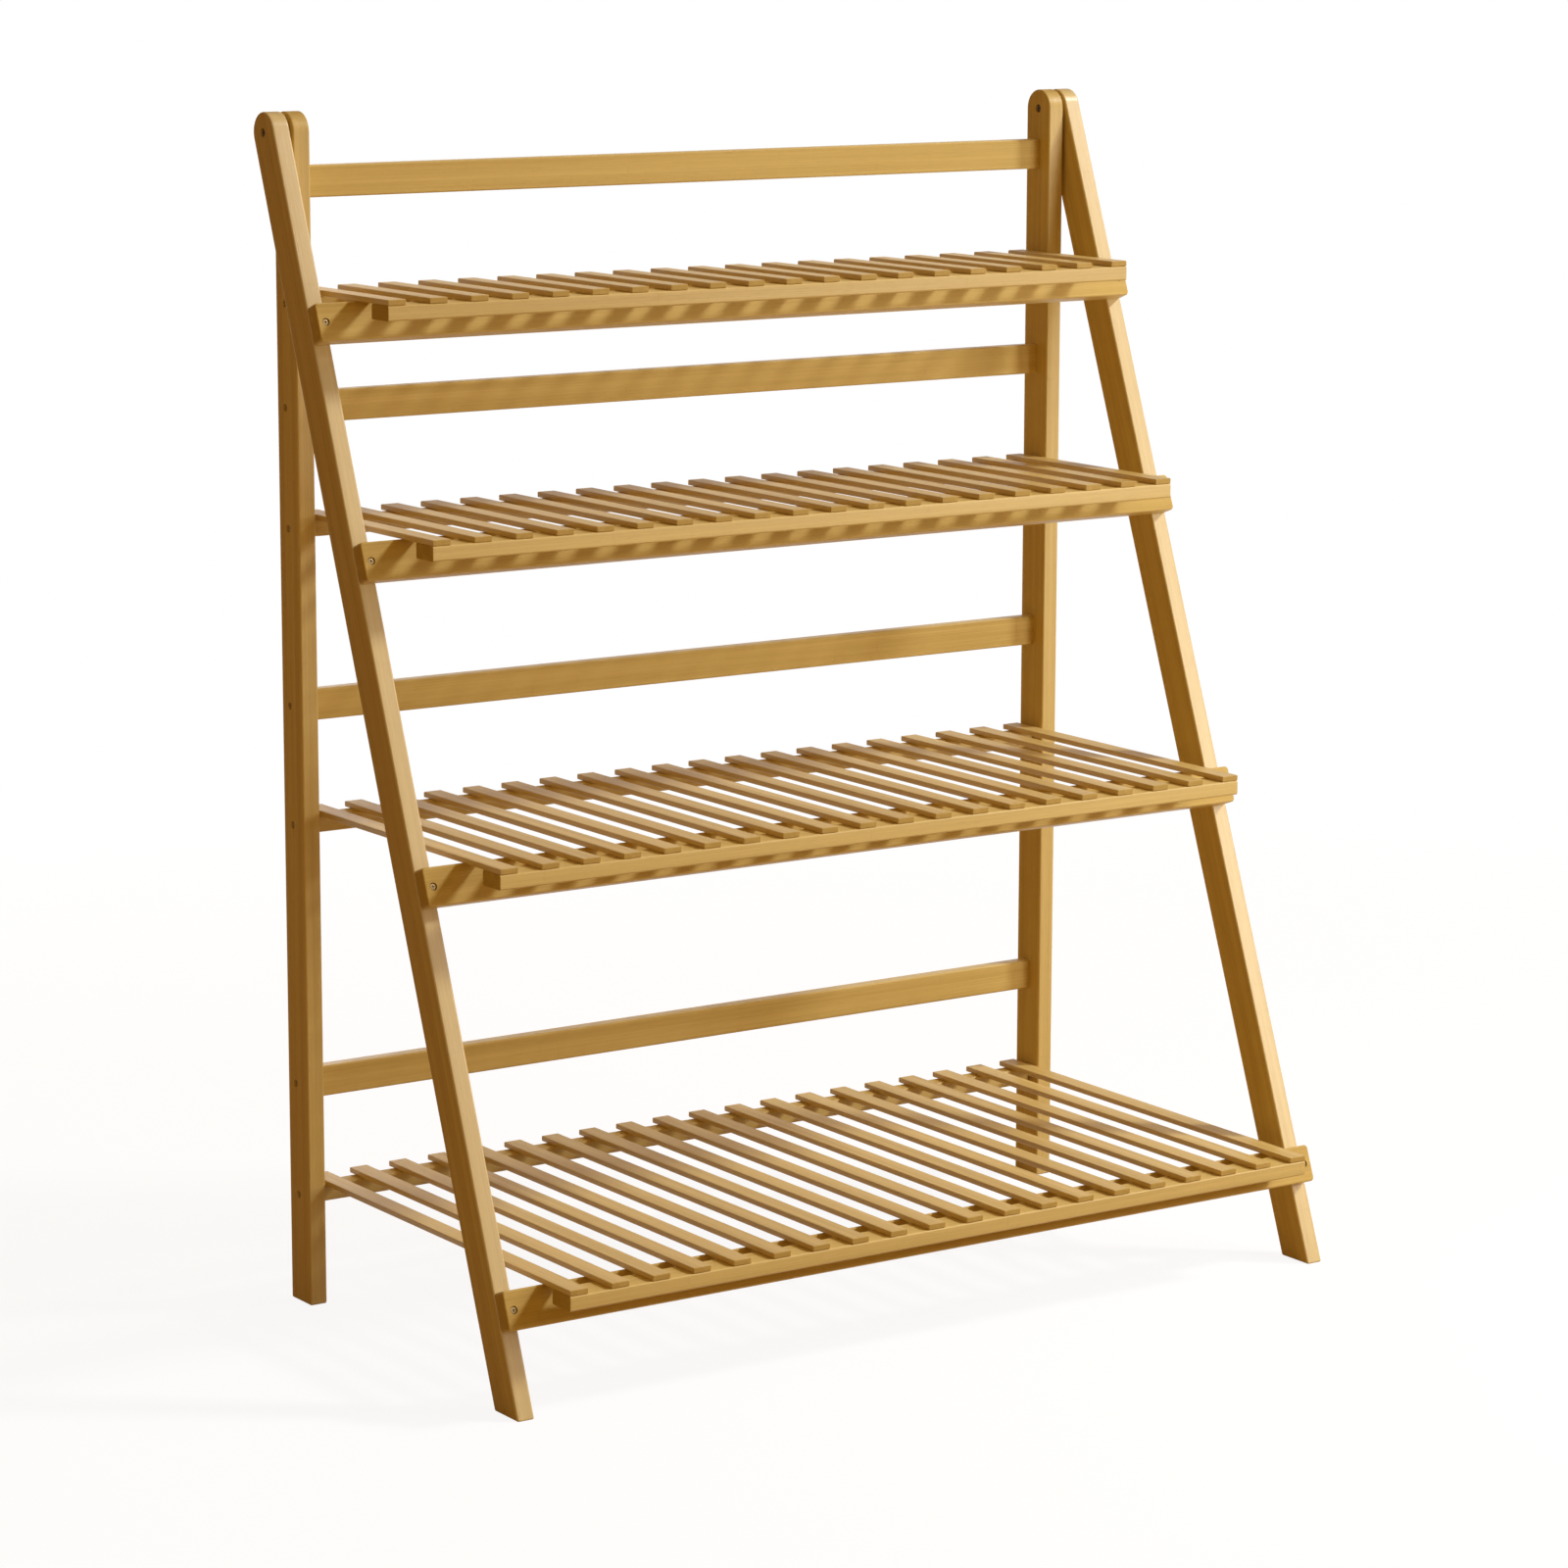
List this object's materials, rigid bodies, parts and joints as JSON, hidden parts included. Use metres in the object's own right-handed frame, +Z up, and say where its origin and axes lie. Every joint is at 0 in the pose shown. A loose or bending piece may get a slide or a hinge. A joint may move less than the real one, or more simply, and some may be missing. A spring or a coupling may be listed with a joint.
{
  "type": "folding plant stand",
  "caption": "Folding bamboo plant stand: slatted shelves that deepen towards the floor, hinged in an upright rear frame and carried on a slanted front leg frame.",
  "frame": {"origin": "on the floor, at the middle of the stand's width and depth", "axes": "+X to the right seen from the front, -Y towards the front, +Z up"},
  "size_m": [0.78, 0.4018, 0.954],
  "materials": {
    "bamboo_boards": "clear satin varnish on straight-grained laminated bamboo",
    "bamboo_slats": "clear satin varnish on straight-grained bamboo",
    "fastener_steel": "zinc-plated",
    "pivot_bronze": "dark bronze plating"
  },
  "bodies": {
    "rear_frame": {"rear_upright_left": "bamboo_boards", "rear_upright_right": "bamboo_boards", "guard_rail_1": "bamboo_boards", "guard_rail_2": "bamboo_boards", "guard_rail_3": "bamboo_boards", "guard_rail_4": "bamboo_boards", "guard_rail_screws": "fastener_steel", "leg_pivot_bolts": "pivot_bronze", "leg_pivot_sleeves": "pivot_bronze", "leg_pivot_washers": "fastener_steel"},
    "front_frame": {"front_leg_left": "bamboo_boards", "front_leg_right": "bamboo_boards", "crossbar_1": "bamboo_boards", "crossbar_2": "bamboo_boards", "crossbar_3": "bamboo_boards", "crossbar_4": "bamboo_boards", "crossbar_screws": "fastener_steel"},
    "shelf_1": {"shelf_1_slats": "bamboo_slats", "shelf_1_front_strip": "bamboo_boards", "shelf_1_rear_bar": "bamboo_boards", "shelf_1_pivot_screws": "fastener_steel", "shelf_1_brads": "fastener_steel"},
    "shelf_2": {"shelf_2_slats": "bamboo_slats", "shelf_2_front_strip": "bamboo_boards", "shelf_2_rear_bar": "bamboo_boards", "shelf_2_pivot_screws": "fastener_steel", "shelf_2_brads": "fastener_steel"},
    "shelf_3": {"shelf_3_slats": "bamboo_slats", "shelf_3_front_strip": "bamboo_boards", "shelf_3_rear_bar": "bamboo_boards", "shelf_3_pivot_screws": "fastener_steel", "shelf_3_brads": "fastener_steel"},
    "shelf_4": {"shelf_4_slats": "bamboo_slats", "shelf_4_front_strip": "bamboo_boards", "shelf_4_rear_bar": "bamboo_boards", "shelf_4_pivot_screws": "fastener_steel", "shelf_4_brads": "fastener_steel"}
  },
  "joints": [
    {"name": "front_frame_fold", "type": "hinge", "parent": "rear_frame", "child": "front_frame", "pos_m": [0, 0.18486, 0.938], "axis": [1, 0, 0], "range_deg": [0, 20]},
    {"name": "shelf_1_lift", "type": "hinge", "parent": "rear_frame", "child": "shelf_1", "pos_m": [0, 0.18636, 0.8055], "axis": [-1, 0, 0], "range_deg": [0, 72]},
    {"name": "shelf_2_lift", "type": "hinge", "parent": "rear_frame", "child": "shelf_2", "pos_m": [0, 0.18636, 0.629], "axis": [-1, 0, 0], "range_deg": [0, 68]},
    {"name": "shelf_3_lift", "type": "hinge", "parent": "rear_frame", "child": "shelf_3", "pos_m": [0, 0.18636, 0.392], "axis": [-1, 0, 0], "range_deg": [0, 72]},
    {"name": "shelf_4_lift", "type": "hinge", "parent": "rear_frame", "child": "shelf_4", "pos_m": [0, 0.18636, 0.089], "axis": [-1, 0, 0], "range_deg": [0, 72]}
  ],
  "couplings": [
    {"joint": "shelf_1_lift", "follows": "front_frame_fold", "ratio": 3.6},
    {"joint": "shelf_2_lift", "follows": "front_frame_fold", "ratio": 3.4},
    {"joint": "shelf_3_lift", "follows": "front_frame_fold", "ratio": 3.6},
    {"joint": "shelf_4_lift", "follows": "front_frame_fold", "ratio": 3.6}
  ]
}
